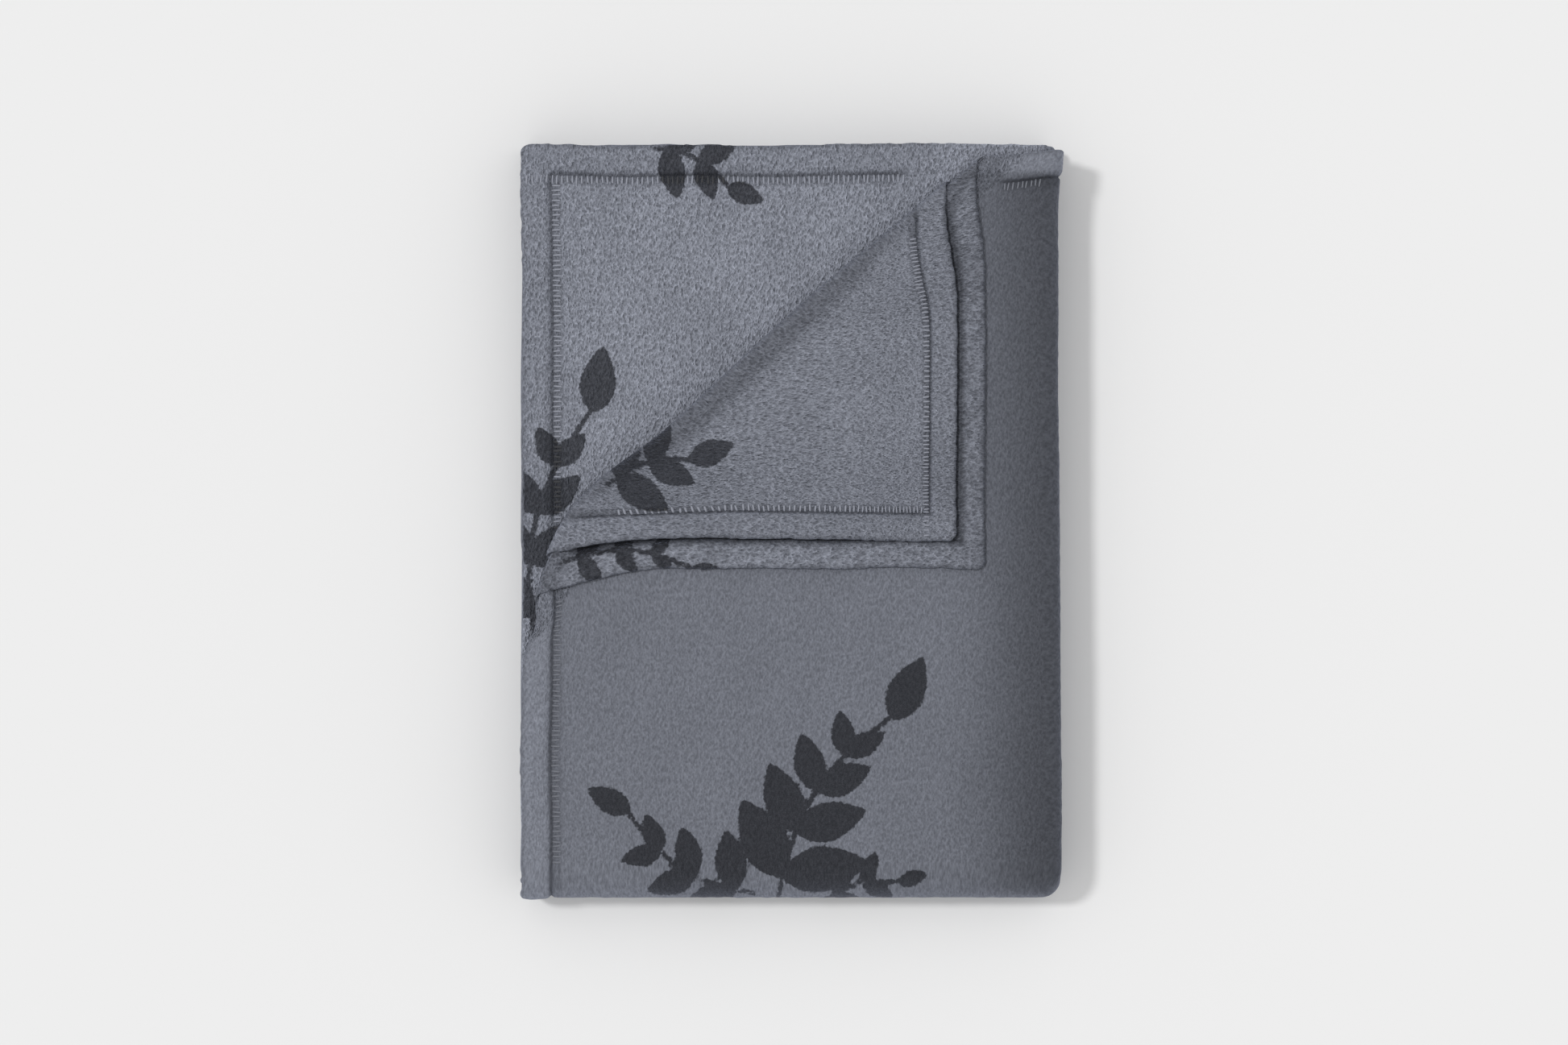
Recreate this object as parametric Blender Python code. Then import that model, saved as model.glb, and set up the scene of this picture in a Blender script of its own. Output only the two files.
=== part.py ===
"""A flannel fleece throw, folded to a quarter each way, with its back left corner turned over.

The flat cloth is cut along the middles of its bends into sixteen leaves, four columns by four
rows. Each leaf is drawn flat, and is then carried through the four folds in the order in which
hands make them. Leaves 1 and 2, which hold the loose corners on top, go through a fifth fold
over the top. +X is the right side, +Y the back, where the hems meet, and the pack rests on z = 0.
"""

import math

import bmesh
import bpy
import numpy as np
from mathutils import Vector

# Sizes of the folded throw, in metres.
FOLDED_WIDTH = 0.322  # left hems to right bend
FOLDED_LENGTH = 0.451  # front bend to back hems
PLY = 0.0025  # one thickness of fleece, pressed by the pack
PLY_GAP = 0.0003  # air between two plies
CUT_GAP = 0.0003  # between two leaves that meet in the middle of a bend
HEM = 0.018  # free edge to hem stitching
ROW_WIDTH = 0.005  # one row of hem stitching
ROW_HEIGHT = 0.0003
ROW_SEAT = 0.0003  # between a row of stitching and its leaf
CORNER_TURN = 0.265  # corner of the pack to each end of the turned corner's crest
CORNER_DRIFT = 0.017  # how far the turned corner has slid along its crest
CORNER_SETBACK = 0.017  # upper turned ply's hems behind the lower one's
ROW_END = 0.006  # a row of stitching stops this far from a crest or a turned edge
BEND_SIDES = 3  # flat sides in a quarter of a bend

FLEECE_COLOUR = (0.162, 0.171, 0.202)
THREAD_COLOUR = (0.130, 0.137, 0.160)

# What follows from the sizes. Heights are counted from the middle of the top ply, then lifted.
PITCH = PLY + PLY_GAP
LEAVES = 16
LEFT, RIGHT = -FOLDED_WIDTH / 2, FOLDED_WIDTH / 2
FRONT, BACK = -FOLDED_LENGTH / 2, FOLDED_LENGTH / 2
LIFT = (LEAVES - 1) * PITCH + PLY / 2
TOP_FACE = PLY / 2
SIDE, ALONG = 0, 1  # the two directions of the cloth: across the pack, and front to back


class Fold:
    """A fold that tucks the cloth beyond a line under the plies on the near side of it."""

    def __init__(self, plies):
        self.axis_height = -(plies - 0.5) * PITCH
        self.radius = plies * PITCH / 2
        self.length = math.pi * self.radius
        self.outer = PLY / 2 - self.axis_height
        self.direction = None
        self.sign = None
        self.line = None

    def place(self, direction, sign, line):
        """Puts the start of the bend at a line across the cloth; sign is the way beyond it."""
        self.direction, self.sign, self.line = direction, sign, line

    def tuck(self, points, near):
        """Carries points through the fold. near says on which side of its middle they lie."""
        beyond = self.sign * (points[:, self.direction] - self.line)
        reach = points[:, 2] - self.axis_height
        angle = np.clip(beyond / self.radius, 0, math.pi)
        past = np.maximum(beyond - self.length, 0)
        along = np.minimum(beyond, 0) + reach * np.sin(angle) - past
        height = self.axis_height + reach * np.cos(angle)
        if near:
            height = np.maximum(height, self.axis_height + CUT_GAP / 2)
        else:
            height = np.minimum(height, self.axis_height - CUT_GAP / 2)
        points[:, self.direction] = self.line + self.sign * along
        points[:, 2] = height


class Cloth:
    """One direction of the flat cloth: its two folds, its two ends and its leaves' stations."""

    def __init__(self, direction, sign, first, last):
        self.first, self.last = first, last
        free_end, bend_end = (LEFT, RIGHT) if direction == SIDE else (BACK, FRONT)
        last_line = bend_end - sign * last.outer
        span = sign * (last_line - free_end) - first.outer
        first_line = last_line + sign * (span + last.length)
        first.place(direction, sign, first_line)
        last.place(direction, sign, last_line)
        mirror = 2 * first_line + sign * first.length
        self.starts = [last_line, first_line, mirror - last_line - sign * last.length]
        self.lengths = [last.length, first.length, last.length]
        middles = [s + sign * n / 2 for s, n in zip(self.starts, self.lengths)]
        self.cuts = [free_end, *middles, mirror - free_end]
        self.sign = sign

    def stations(self, number):
        """Where leaf number's mesh has lines across it, from its first cut to its second."""
        low, high = sorted(self.cuts[number : number + 2])
        found = [low, high]
        for start, length in zip(self.starts, self.lengths):
            sides = range(2 * BEND_SIDES + 1)
            found += [start + self.sign * length * i / (2 * BEND_SIDES) for i in sides]
        tiny = PLY_GAP / 10
        inside = [s for s in found[2:] if low + tiny < s < high - tiny]
        return sorted([low, high, *inside])


class CornerTurn:
    """The fold that takes the two top plies' loose corner up and over its diagonal crest."""

    def __init__(self):
        self.axis_height = PITCH / 2
        self.radius = PITCH
        self.length = math.pi * self.radius
        self.outer = PITCH * 1.5 + PLY / 2
        self.across = Vector((-1, 1, 0)).normalized()
        self.along = Vector((1, 1, 0)).normalized()
        self.crest = Vector((LEFT, BACK - CORNER_TURN, 0))
        self.start = self.crest - self.across * self.outer

    def line(self, beyond):
        """A point of the flat plies that lies this far beyond the start of the bend."""
        return self.start + self.across * beyond

    def turn(self, points):
        """Carries points over the crest."""
        across = np.array(self.across)
        beyond = (points - np.array(self.start)) @ across
        reach = self.axis_height - points[:, 2]
        angle = np.clip(beyond / self.radius, 0, math.pi)
        past = np.maximum(beyond - self.length, 0)
        moved = np.minimum(beyond, 0) + reach * np.sin(angle) - past
        points += np.outer(moved - beyond, across)
        points[:, 2] = self.axis_height - reach * np.cos(angle)

    def slide(self, points):
        """Moves the turned plies along the crest, as the soft cloth has crept."""
        points += np.array(self.along) * CORNER_DRIFT


def vertices_of(shape):
    return np.array([v.co for v in shape.verts], float)


def set_vertices(shape, points):
    for vertex, point in zip(shape.verts, points):
        vertex.co = point


def slab(columns, rows, low, high):
    """A closed flat slab with a grid line at each column and row."""
    shape = bmesh.new()
    layers = []
    for height in (low, high):
        layers.append([[shape.verts.new((x, y, height)) for y in rows] for x in columns])
    wide, long = len(columns) - 1, len(rows) - 1
    for layer in layers:
        for i in range(wide):
            for j in range(long):
                corners = layer[i][j], layer[i + 1][j], layer[i + 1][j + 1], layer[i][j + 1]
                shape.faces.new(corners)
    rim = [(i, 0) for i in range(wide)] + [(wide, j) for j in range(long)]
    rim += [(i, long) for i in range(wide, 0, -1)] + [(0, j) for j in range(long, 0, -1)]
    under, over = layers
    for (i, j), (k, m) in zip(rim, rim[1:] + rim[:1]):
        shape.faces.new((under[i][j], under[k][m], over[k][m], over[i][j]))
    bmesh.ops.recalc_face_normals(shape, faces=shape.faces)
    return shape


def score(shape, point, normal):
    """Adds mesh edges where a plane crosses the shape."""
    everything = [*shape.verts, *shape.edges, *shape.faces]
    return bmesh.ops.bisect_plane(shape, geom=everything, plane_co=point, plane_no=normal)


def trim(shape, point, normal):
    """Cuts off what lies on the normal's side of a plane, and closes the cut."""
    everything = [*shape.verts, *shape.edges, *shape.faces]
    cut = bmesh.ops.bisect_plane(
        shape, geom=everything, plane_co=point, plane_no=normal, clear_outer=True
    )
    edges = [e for e in cut["geom_cut"] if isinstance(e, bmesh.types.BMEdge)]
    if edges:
        bmesh.ops.contextual_create(shape, geom=edges)


def leaf_slab(side, along, column, row):
    """One leaf, carried through the four folds to its place in the pack."""
    shape = slab(side.stations(column), along.stations(row), -PLY / 2, PLY / 2)
    points = vertices_of(shape)
    along.first.tuck(points, near=row in (0, 1))
    side.first.tuck(points, near=column in (0, 1))
    side.last.tuck(points, near=column in (0, 3))
    along.last.tuck(points, near=row in (0, 3))
    set_vertices(shape, points)
    return shape


def split_corner(shape, corner):
    """Turns the corner of a flat leaf over, and gives what stays and what is turned."""
    quarter = corner.length / 2
    for i in [*range(BEND_SIDES), *range(BEND_SIDES + 1, 2 * BEND_SIDES + 1)]:
        score(shape, corner.line(quarter * i / BEND_SIDES), corner.across)
    staying, turned = shape, shape.copy()
    trim(staying, corner.line(quarter), corner.across)
    trim(turned, corner.line(quarter), -corner.across)
    for half, sign in ((staying, -1), (turned, 1)):
        points = vertices_of(half)
        corner.turn(points)
        if sign > 0:
            corner.slide(points)
        gap = sign * CUT_GAP / 2
        middle = np.abs(points[:, 2] - corner.axis_height) < CUT_GAP / 2
        points[middle, 2] = corner.axis_height + gap
        set_vertices(half, points)
        keep_in_pack(half)
    return staying, turned


def keep_in_pack(shape):
    """Trims the ends of the roll level with the left and back hems."""
    trim(shape, Vector((LEFT, 0, 0)), Vector((-1, 0, 0)))
    trim(shape, Vector((0, BACK, 0)), Vector((0, 1, 0)))


def set_back_hems(shape, distance):
    """Shortens the flat corner of a leaf at its left and back hems."""
    trim(shape, Vector((LEFT + distance, 0, 0)), Vector((-1, 0, 0)))
    trim(shape, Vector((0, BACK - distance, 0)), Vector((0, 1, 0)))


def row_slab(left, right, front, back, face, upwards=True):
    """One row of hem stitching as a thin strip, just clear of a leaf's face."""
    near = face + ROW_SEAT if upwards else face - ROW_SEAT
    far = near + ROW_HEIGHT if upwards else near - ROW_HEIGHT
    return slab([left, right], [front, back], min(near, far), max(near, far))


def turned_row(corner, left, right, front, back):
    """A row of stitching under the second ply, carried over the crest with its corner."""
    shape = row_slab(left, right, front, back, -PITCH - PLY / 2, upwards=False)
    trim(shape, corner.line(corner.length + ROW_END), -corner.across)
    points = vertices_of(shape)
    corner.turn(points)
    corner.slide(points)
    set_vertices(shape, points)
    return shape


def stitching(side, along, corner):
    """Each row of stitching that shows, by name: on the third leaf, the first and the corner."""
    hem_left, hem_back = LEFT + HEM, BACK - HEM
    row_left, row_back = hem_left + ROW_WIDTH, hem_back - ROW_WIDTH
    third = TOP_FACE - 2 * PITCH
    reach = CORNER_TURN - HEM - ROW_WIDTH - ROW_END
    turned_corner = np.array([[LEFT, BACK, 0.0]])
    corner.turn(turned_corner)
    corner.slide(turned_corner)
    turned_right = turned_corner[0, 0]
    inner_left, inner_back = hem_left + CORNER_SETBACK, hem_back - CORNER_SETBACK
    inner_row_back = inner_back - ROW_WIDTH
    crest_front = BACK - CORNER_TURN - ROW_END
    return {
        "exposed_back_stitching": row_slab(LEFT, LEFT + reach, row_back, hem_back, third),
        "exposed_left_stitching": row_slab(
            hem_left, row_left, BACK - reach, row_back - ROW_SEAT, third
        ),
        "top_left_stitching": row_slab(
            hem_left, row_left, along.last.line, crest_front, TOP_FACE
        ),
        "top_back_stitching": row_slab(
            turned_right + ROW_END, side.last.line, row_back, hem_back, TOP_FACE
        ),
        "turned_right_stitching": turned_row(
            corner, LEFT + CORNER_SETBACK, RIGHT, inner_row_back, inner_back
        ),
        "turned_front_stitching": turned_row(
            corner, inner_left, inner_left + ROW_WIDTH, FRONT, inner_row_back - ROW_SEAT
        ),
    }


def fabric_material(name, colour, roughness):
    material = bpy.data.materials.new(name)
    material.use_nodes = True
    shader = material.node_tree.nodes["Principled BSDF"]
    shader.inputs["Base Color"].default_value = (*colour, 1.0)
    shader.inputs["Roughness"].default_value = roughness
    shader.inputs["Metallic"].default_value = 0.0
    material.diffuse_color = (*colour, 1.0)
    return material


def add_object(name, shape, parent, colour=FLEECE_COLOUR, roughness=0.95):
    """Makes the named object from a shape, hung from the empty that it moves with."""
    bmesh.ops.triangulate(shape, faces=[f for f in shape.faces if len(f.verts) > 3])
    bmesh.ops.recalc_face_normals(shape, faces=shape.faces)
    mesh = bpy.data.meshes.new(name)
    hinge = parent.matrix_world.translation
    bmesh.ops.translate(shape, verts=shape.verts, vec=Vector((0, 0, LIFT)) - hinge)
    shape.to_mesh(mesh)
    shape.free()
    mesh.materials.append(fabric_material(name, colour, roughness))
    made = bpy.data.objects.new(name, mesh)
    bpy.context.scene.collection.objects.link(made)
    made.parent = parent
    return made


def add_hinge(name, place, parent=None):
    """An empty on a fold's axis, which the pieces that turn about it hang from."""
    empty = bpy.data.objects.new(name, None)
    bpy.context.scene.collection.objects.link(empty)
    empty.parent = parent
    empty.location = place if parent is None else place - parent.matrix_world.translation
    bpy.context.view_layer.update()
    return empty


def main():
    for old in list(bpy.data.objects):
        bpy.data.objects.remove(old, do_unlink=True)

    along = Cloth(ALONG, -1, first=Fold(plies=1), last=Fold(plies=8))
    side = Cloth(SIDE, 1, first=Fold(plies=2), last=Fold(plies=4))
    corner = CornerTurn()

    lower_half = add_hinge("lower_half", Vector((0, 0, 0)))
    main_fold = Vector((0, FRONT, LIFT + along.last.axis_height))
    upper_half = add_hinge("upper_half", main_fold, lower_half)
    corner_fold = corner.crest + Vector((0, 0, LIFT + corner.axis_height))
    turned_corner = add_hinge("turned_corner", corner_fold, upper_half)

    leaves = [(leaf_slab(side, along, c, r), r) for c in range(4) for r in range(4)]
    leaves.sort(key=lambda leaf: -np.median(vertices_of(leaf[0])[:, 2]))
    for number, (shape, row) in enumerate(leaves, start=1):
        parent = upper_half if row in (0, 3) else lower_half
        if number <= 2:
            if number == 2:
                set_back_hems(shape, CORNER_SETBACK)
            shape, turned = split_corner(shape, corner)
            place = "lower" if number == 1 else "upper"
            add_object(f"turned_corner_{place}_ply", turned, turned_corner)
        add_object(f"leaf_{number:02d}", shape, parent)

    for name, shape in stitching(side, along, corner).items():
        parent = turned_corner if name.startswith("turned") else upper_half
        add_object(name, shape, parent, THREAD_COLOUR, roughness=0.6)


main()
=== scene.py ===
"""A flannel fleece throw, folded to a quarter each way, with its back left corner turned over."""

import logging
import math
from dataclasses import dataclass, field
from enum import Enum

import bpy
import numpy as np
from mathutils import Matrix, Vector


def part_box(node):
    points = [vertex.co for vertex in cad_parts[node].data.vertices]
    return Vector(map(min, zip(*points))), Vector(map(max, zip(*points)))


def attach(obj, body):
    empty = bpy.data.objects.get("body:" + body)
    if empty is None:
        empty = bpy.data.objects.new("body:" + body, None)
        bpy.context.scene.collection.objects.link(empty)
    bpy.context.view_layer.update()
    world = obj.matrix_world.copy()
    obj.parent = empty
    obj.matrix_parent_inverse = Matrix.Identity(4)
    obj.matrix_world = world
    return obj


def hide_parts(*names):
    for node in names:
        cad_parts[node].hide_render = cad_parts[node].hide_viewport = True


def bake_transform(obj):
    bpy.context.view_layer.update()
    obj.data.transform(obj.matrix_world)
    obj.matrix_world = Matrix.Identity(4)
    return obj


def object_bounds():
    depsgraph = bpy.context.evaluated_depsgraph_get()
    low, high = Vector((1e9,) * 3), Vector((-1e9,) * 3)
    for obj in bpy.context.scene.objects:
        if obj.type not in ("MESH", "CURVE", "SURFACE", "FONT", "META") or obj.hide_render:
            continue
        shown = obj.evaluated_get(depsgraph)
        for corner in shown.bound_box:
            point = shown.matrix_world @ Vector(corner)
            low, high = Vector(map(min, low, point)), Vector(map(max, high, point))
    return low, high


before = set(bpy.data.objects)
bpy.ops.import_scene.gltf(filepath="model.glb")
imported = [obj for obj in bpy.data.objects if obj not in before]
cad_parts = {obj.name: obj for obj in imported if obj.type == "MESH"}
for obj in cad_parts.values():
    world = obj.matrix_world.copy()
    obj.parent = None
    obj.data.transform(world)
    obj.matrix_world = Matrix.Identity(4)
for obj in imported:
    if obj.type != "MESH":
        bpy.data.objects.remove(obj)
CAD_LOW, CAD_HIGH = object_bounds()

LOG = logging.getLogger("throw")
Array = np.ndarray
Object = bpy.types.Object
Material = bpy.types.Material

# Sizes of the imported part, in metres.
LEFT, RIGHT = CAD_LOW.x, CAD_HIGH.x
FRONT, BACK = CAD_LOW.y, CAD_HIGH.y
PLY = 0.0025  # one thickness of fleece
PITCH = 0.0028  # ply to ply
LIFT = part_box("leaf_01")[1].z - PLY / 2  # height of the top ply's middle
HEM = 0.018  # free edge to hem stitching
CORNER_TURN = 0.265  # corner of the pack to each end of the turned corner's crest
CORNER_DRIFT = 0.017  # how far the turned corner has slid along its crest
CORNER_SETBACK = 0.017  # second ply's hems behind the first one's

# Sizes of the looks, in metres.
EDGE_ROUND = 0.0013  # radius of a free edge
HEM_RISE = 0.0011  # how much thicker a hem is on the side that shows
GROOVE_DEPTH = 0.0014
GROOVE_WIDTH = 0.0012
CORNER_ROUND = 0.005  # radius of the cloth's own corners
TUCK = 0.010  # how far past a bend a finely drawn ply goes before the plain ones take over
FINE, PLAIN = 0.002, 0.012  # grid steps where the cloth shows and where it does not
SEAM_ANGLE = math.pi / 6  # how far round the front bend the plies of each half reach
CREST_ROOM = 0.018  # the crest piece reaches this far from the start of its bend
GHOST = 0.0015  # how far beyond a stretch of cloth its neighbours are felt in its normals
PRINT_EDGE = (-0.0004, 0.0005)  # from clear of the ink to full ink


def linear(colour: str) -> tuple[float, float, float, float]:
    """A colour written as sRGB hex, as Blender's linear values."""
    parts = [int(colour[i : i + 2], 16) / 255 for i in (1, 3, 5)]
    values = [p / 12.92 if p <= 0.04045 else ((p + 0.055) / 1.055) ** 2.4 for p in parts]
    return (*values, 1.0)


def smooth(value: Array | float) -> Array:
    """A soft step from 0 at 0 to 1 at 1."""
    value = np.clip(value, 0.0, 1.0)
    return value * value * (3.0 - 2.0 * value)


def bell(value: Array, width: float) -> Array:
    """A soft bump of height 1 about 0."""
    return np.exp(-((value / width) ** 2))


def clouds(x: Array, y: Array, size: float, seed: int) -> Array:
    """Soft random values from -1 to 1.

    Args:
        x: positions across, in metres.
        y: positions along, in metres.
        size: distance between two random values, in metres.
        seed: picks the random values.

    Returns:
        One value for each position.
    """
    lattice = np.random.default_rng(seed).uniform(-1.0, 1.0, (64, 64))
    column, row = np.floor(x / size).astype(int), np.floor(y / size).astype(int)
    right, up = smooth(x / size - column), smooth(y / size - row)
    near = lattice[column % 64, row % 64] * (1 - right)
    near = near + lattice[(column + 1) % 64, row % 64] * right
    far = lattice[column % 64, (row + 1) % 64] * (1 - right)
    far = far + lattice[(column + 1) % 64, (row + 1) % 64] * right
    return near * (1 - up) + far * up


def through(points: tuple, at: Array) -> Array:
    """A smooth curve through a few points.

    Args:
        points: pairs of position and value, positions rising.
        at: where to read the curve.

    Returns:
        The curve's values; it stays level outside its points.
    """
    place, value = np.array(points).T
    slope = np.gradient(value, place)
    at = np.clip(at, place[0], place[-1])
    i = np.clip(np.searchsorted(place, at) - 1, 0, len(place) - 2)
    step = place[i + 1] - place[i]
    t = (at - place[i]) / step
    rise = smooth(t)
    bow = t * (1 - t) * step * ((1 - t) * slope[i] - t * slope[i + 1])
    return value[i] * (1 - rise) + value[i + 1] * rise + bow


class Ply(Enum):
    """Which ply of the pack a stretch of cloth is, counted from the top."""

    FIRST = 1
    SECOND = 2
    THIRD = 3
    INNER = 4


@dataclass
class Bend:
    """A fold that tucks the cloth beyond a line under the plies on the near side of it."""

    plies: int  # how many plies it is wrapped round
    direction: int = 0  # 0 where it folds across the pack, 1 where it folds front to back
    sign: int = 1
    line: float = 0.0  # where it starts

    def __post_init__(self) -> None:
        """Works out the sizes that follow from the number of plies."""
        self.axis_height = -(self.plies - 0.5) * PITCH
        self.radius = self.plies * PITCH / 2
        self.length = math.pi * self.radius
        self.outer = PLY / 2 - self.axis_height

    def tuck(self, points: Array) -> None:
        """Carries points through the fold, in place."""
        beyond = self.sign * (points[:, self.direction] - self.line)
        reach = points[:, 2] - self.axis_height
        angle = np.clip(beyond / self.radius, 0.0, math.pi)
        past = np.maximum(beyond - self.length, 0.0)
        moved = np.minimum(beyond, 0.0) + reach * np.sin(angle) - past
        points[:, self.direction] = self.line + self.sign * moved
        points[:, 2] = self.axis_height + reach * np.cos(angle)


@dataclass
class Measure:
    """One direction of the flat cloth, as distances from its free end."""

    direction: int  # 0 for across the pack, 1 for front to back
    first: Bend  # the bend made first, in the middle of the cloth
    last: Bend  # the bend made last, which the pack's two halves share

    def __post_init__(self) -> None:
        """Places the two folds of this direction."""
        self.origin, bend_end = (LEFT, RIGHT) if self.direction == 0 else (BACK, FRONT)
        self.sign = 1 if self.direction == 0 else -1
        self.near_bend = abs(bend_end - self.origin) - self.last.outer
        span = self.near_bend - self.first.outer
        self.middle_bend = self.near_bend + span + self.last.length
        self.length = 2 * self.middle_bend + self.first.length
        self.far_bend = self.length - self.near_bend - self.last.length
        for bend, place in ((self.first, self.middle_bend), (self.last, self.near_bend)):
            bend.direction, bend.sign = self.direction, self.sign
            bend.line = self.origin + self.sign * place

    def place(self, distance: Array) -> Array:
        """Positions on the flat cloth of distances from the free end."""
        return self.origin + self.sign * distance

    def from_edge(self, distance: Array) -> Array:
        """How far the nearer free end is."""
        return np.minimum(distance, self.length - distance)


@dataclass
class CornerTurn:
    """The fold that takes the two top plies' loose corner up and over its diagonal crest."""

    axis_height: float = PITCH / 2
    radius: float = PITCH
    outer: float = PITCH * 1.5 + PLY / 2
    fade: float = 0.075  # how far from the crest its waver is felt
    tighter: float = 0.038  # how much less far that is at the crest's left end
    level: float = 0.034  # the pack lies level this far to each side of the crest
    drift_ease: float = 0.060  # how far past the crest the corner has slid its full way
    overhang: float = 0.006  # radius of cloth that hangs over an edge of the pack
    droop: float = 0.6  # how much of that radius the cloth sinks
    puff: float = 0.0008  # how much the cloth stands up beside its crest
    puff_place: float = 0.030
    puff_width: float = 0.012
    # How far the crest strays from a straight line, at places along it.
    waver: tuple[tuple[float, float], ...] = (
        (-0.150, -0.014),
        (-0.126, -0.001),
        (-0.095, 0.0105),
        (-0.010, 0.0055),
        (0.100, 0.001),
        (0.200, -0.008),
        (0.240, -0.011),
    )
    across: Array = field(default_factory=lambda: np.array([-1.0, 1.0, 0.0]) / math.sqrt(2))
    along: Array = field(default_factory=lambda: np.array([1.0, 1.0, 0.0]) / math.sqrt(2))

    def __post_init__(self) -> None:
        """Works out where the bend starts."""
        self.length = math.pi * self.radius
        crest = np.array([LEFT, BACK - CORNER_TURN, 0.0])
        self.start = crest - self.across * self.outer

    def beyond(self, points: Array) -> Array:
        """How far points of the flat plies lie beyond the start of the bend."""
        return (points - self.start) @ self.across

    def turn(self, points: Array) -> None:
        """Carries points over the crest, in place, with its waver, drift and puff."""
        beyond = self.beyond(points)
        reach = self.axis_height - points[:, 2]
        angle = np.clip(beyond / self.radius, 0.0, math.pi)
        past = np.maximum(beyond - self.length, 0.0)
        moved = np.minimum(beyond, 0.0) + reach * np.sin(angle) - past
        points += np.outer(moved - beyond, self.across)
        points[:, 2] = self.axis_height - reach * np.cos(angle)
        inside = np.maximum(self.outer - moved, 0.0)
        along = points @ self.along
        fade = self.fade - self.tighter * smooth((-0.098 - along) / 0.035)
        shift = through(self.waver, along) * (1 - smooth(inside / fade))
        points += np.outer(shift, self.across)
        points += np.outer(CORNER_DRIFT * smooth(past / self.drift_ease), self.along)
        turned = smooth((beyond - self.length / 2) / 0.004)
        points[:, 2] += self.puff * turned * bell(inside - self.puff_place, self.puff_width)
        self.hang(points, turned)

    def hang(self, points: Array, turned: Array) -> None:
        """Lets turned cloth that reaches past the pack's edges hang over them."""
        for direction, edge, sign in ((0, LEFT, -1), (1, BACK, 1)):
            over = np.maximum(sign * (points[:, direction] - edge), 0.0) * turned
            angle = np.minimum(over / self.overhang, math.pi / 2)
            points[:, direction] += sign * (self.overhang * np.sin(angle) - over)
            points[:, 2] -= self.overhang * (1 - np.cos(angle)) * self.droop


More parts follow.
